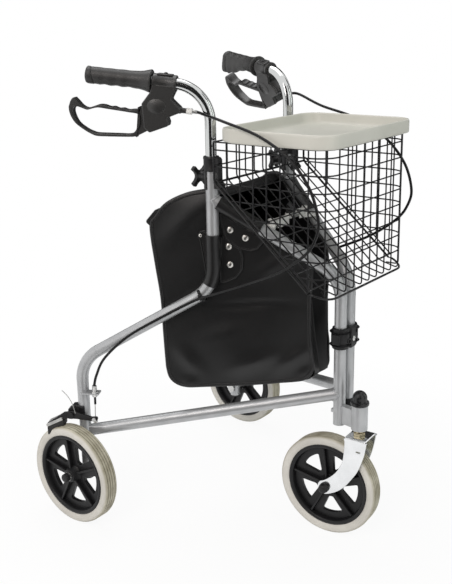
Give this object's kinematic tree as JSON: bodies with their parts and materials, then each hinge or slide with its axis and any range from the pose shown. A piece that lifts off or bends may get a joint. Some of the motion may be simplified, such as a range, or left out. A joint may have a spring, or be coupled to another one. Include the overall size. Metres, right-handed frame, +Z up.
{
  "type": "three wheel rollator",
  "caption": "Folding walking frame on wheels with splayed tube sides, a front caster, adjustable handles with loop brake levers, a vinyl bag, a wire basket and a lift-off tray.",
  "frame": {"origin": "on the floor, under the middle of the bounding box", "axes": "+X forward towards the front caster, +Y to the user's left, +Z up"},
  "size_m": [0.6049, 0.5882, 0.8572],
  "materials": {
    "frame_paint": "satin silver grey paint",
    "bright_chrome": "polished bright plating",
    "steel": "zinc plated",
    "black_plastic": "moulded, lightly textured",
    "lever_plastic": "moulded charcoal",
    "grip_rubber": "soft moulded grip",
    "pad_rubber": "hard brake block",
    "cable_sheath": "glossy outer sheath",
    "bag_vinyl": "grained vinyl",
    "rim_plastic": "moulded black",
    "tyre_grey": "grey beige, soiled tread",
    "basket_wire": "plastic coated wire",
    "tray_plastic": "pale warm grey"
  },
  "bodies": {
    "right_frame": {"right_bow": "frame_paint", "right_spine": "frame_paint", "right_lower_tube": "frame_paint", "right_collar": "black_plastic", "right_axle": "steel", "right_brake_bracket": "black_plastic", "right_cable": "cable_sheath", "right_bag_panel": "bag_vinyl", "right_bag_studs": "steel", "right_brace_post": "steel", "caster_housing": "frame_paint", "caster_cap": "black_plastic", "hinge_clamp": "black_plastic", "hinge_bush": "black_plastic", "bag_gusset": "bag_vinyl"},
    "left_frame": {"left_bow": "frame_paint", "left_spine": "frame_paint", "left_lower_tube": "frame_paint", "left_collar": "black_plastic", "left_axle": "steel", "left_brake_bracket": "black_plastic", "left_cable": "cable_sheath", "left_bag_panel": "bag_vinyl", "left_bag_studs": "steel", "left_brace_post": "steel"},
    "right_handle": {"right_handle_tube": "bright_chrome", "right_grip": "grip_rubber", "right_brake_housing": "black_plastic"},
    "left_handle": {"left_handle_tube": "bright_chrome", "left_grip": "grip_rubber", "left_brake_housing": "black_plastic"},
    "right_lever": {"right_lever": "lever_plastic"},
    "left_lever": {"left_lever": "lever_plastic"},
    "right_knob": {"right_knob": "black_plastic"},
    "left_knob": {"left_knob": "black_plastic"},
    "right_brake_arm": {"right_brake_arm": "steel", "right_brake_pad": "pad_rubber"},
    "left_brake_arm": {"left_brake_arm": "steel", "left_brake_pad": "pad_rubber"},
    "right_wheel": {"right_rim": "rim_plastic", "right_tyre": "tyre_grey"},
    "left_wheel": {"left_rim": "rim_plastic", "left_tyre": "tyre_grey"},
    "caster": {"caster_fork": "bright_chrome", "front_axle": "steel"},
    "front_wheel": {"front_rim": "rim_plastic", "front_tyre": "tyre_grey"},
    "right_brace": {"right_brace": "steel"},
    "left_brace": {"left_brace": "steel", "brace_lever": "black_plastic"},
    "basket": {"basket_front_wall": "basket_wire", "basket_right_wall": "basket_wire", "basket_left_wall": "basket_wire", "basket_rear_wall": "basket_wire", "basket_slope": "basket_wire", "basket_floor": "basket_wire"},
    "tray": {"tray": "tray_plastic"}
  },
  "joints": [
    {"name": "fold", "type": "hinge", "parent": "right_frame", "child": "left_frame", "pos_m": [0.21656, 0.0144, 0.3], "axis": [0, 0, 1], "range_deg": [0, 36], "deforming": ["bag_gusset"]},
    {"name": "right_brace_turn", "type": "hinge", "parent": "right_frame", "child": "right_brace", "pos_m": [0.09761, -0.05475, 0.579], "axis": [0, 0, 1], "range_deg": [0, 76]},
    {"name": "left_brace_turn", "type": "hinge", "parent": "left_frame", "child": "left_brace", "pos_m": [0.09761, 0.05475, 0.5834], "axis": [0, 0, 1], "range_deg": [-108.5, 0]},
    {"name": "right_handle_slide", "type": "slide", "parent": "right_frame", "child": "right_handle", "axis": [0, 0, 1], "range_m": [-0.05, 0.05], "deforming": ["right_cable"]},
    {"name": "left_handle_slide", "type": "slide", "parent": "left_frame", "child": "left_handle", "axis": [0, 0, 1], "range_m": [-0.05, 0.05], "deforming": ["left_cable"]},
    {"name": "right_lever_squeeze", "type": "hinge", "parent": "right_handle", "child": "right_lever", "pos_m": [-0.06179, -0.16178, 0.78254], "axis": [-0.4679, 0.8838, 0], "range_deg": [0, 13], "stiffness_Nm_per_rad": 1.2},
    {"name": "left_lever_squeeze", "type": "hinge", "parent": "left_handle", "child": "left_lever", "pos_m": [-0.05975, 0.1678, 0.79351], "axis": [0.3649, 0.8228, 0.4358], "range_deg": [0, 13], "stiffness_Nm_per_rad": 1.2},
    {"name": "right_brake_turn", "type": "hinge", "parent": "right_frame", "child": "right_brake_arm", "pos_m": [-0.2169, -0.26427, 0.209], "axis": [0.4679, -0.8838, 0], "range_deg": [0, 2.9]},
    {"name": "left_brake_turn", "type": "hinge", "parent": "left_frame", "child": "left_brake_arm", "pos_m": [-0.2169, 0.26427, 0.209], "axis": [-0.4679, -0.8838, 0], "range_deg": [0, 2.9]},
    {"name": "right_knob_turn", "type": "hinge", "parent": "right_frame", "child": "right_knob", "pos_m": [0.01771, -0.11968, 0.66], "axis": [0.9848, -0.1736, 0], "continuous": true},
    {"name": "right_wheel_spin", "type": "hinge", "parent": "right_frame", "child": "right_wheel", "pos_m": [-0.20765, -0.27211, 0.095], "axis": [0, 1, 0], "continuous": true},
    {"name": "left_knob_turn", "type": "hinge", "parent": "left_frame", "child": "left_knob", "pos_m": [0.01771, 0.11968, 0.66], "axis": [0.9848, 0.1736, 0], "continuous": true},
    {"name": "left_wheel_spin", "type": "hinge", "parent": "left_frame", "child": "left_wheel", "pos_m": [-0.20765, 0.27211, 0.095], "axis": [0, 1, 0], "continuous": true},
    {"name": "caster_swivel", "type": "hinge", "parent": "right_frame", "child": "caster", "pos_m": [0.26256, -0.0224, 0.2], "axis": [0, 0, 1], "continuous": true},
    {"name": "front_wheel_spin", "type": "hinge", "parent": "caster", "child": "front_wheel", "pos_m": [0.20672, -0.0266, 0.095], "axis": [-0.075, 0.9972, 0], "continuous": true},
    {"name": "basket_lift", "type": "slide", "parent": "right_frame", "child": "basket", "axis": [0, 0, 1], "range_m": [0, 0.25]},
    {"name": "tray_lift", "type": "slide", "parent": "basket", "child": "tray", "axis": [0, 0, 1], "range_m": [0, 0.2]}
  ],
  "couplings": [
    {"joint": "right_brace_turn", "follows": "fold", "ratio": 2.079},
    {"joint": "left_brace_turn", "follows": "fold", "ratio": -2.979},
    {"joint": "right_brake_turn", "follows": "right_lever_squeeze", "ratio": 0.22308},
    {"joint": "left_brake_turn", "follows": "left_lever_squeeze", "ratio": 0.22308}
  ]
}
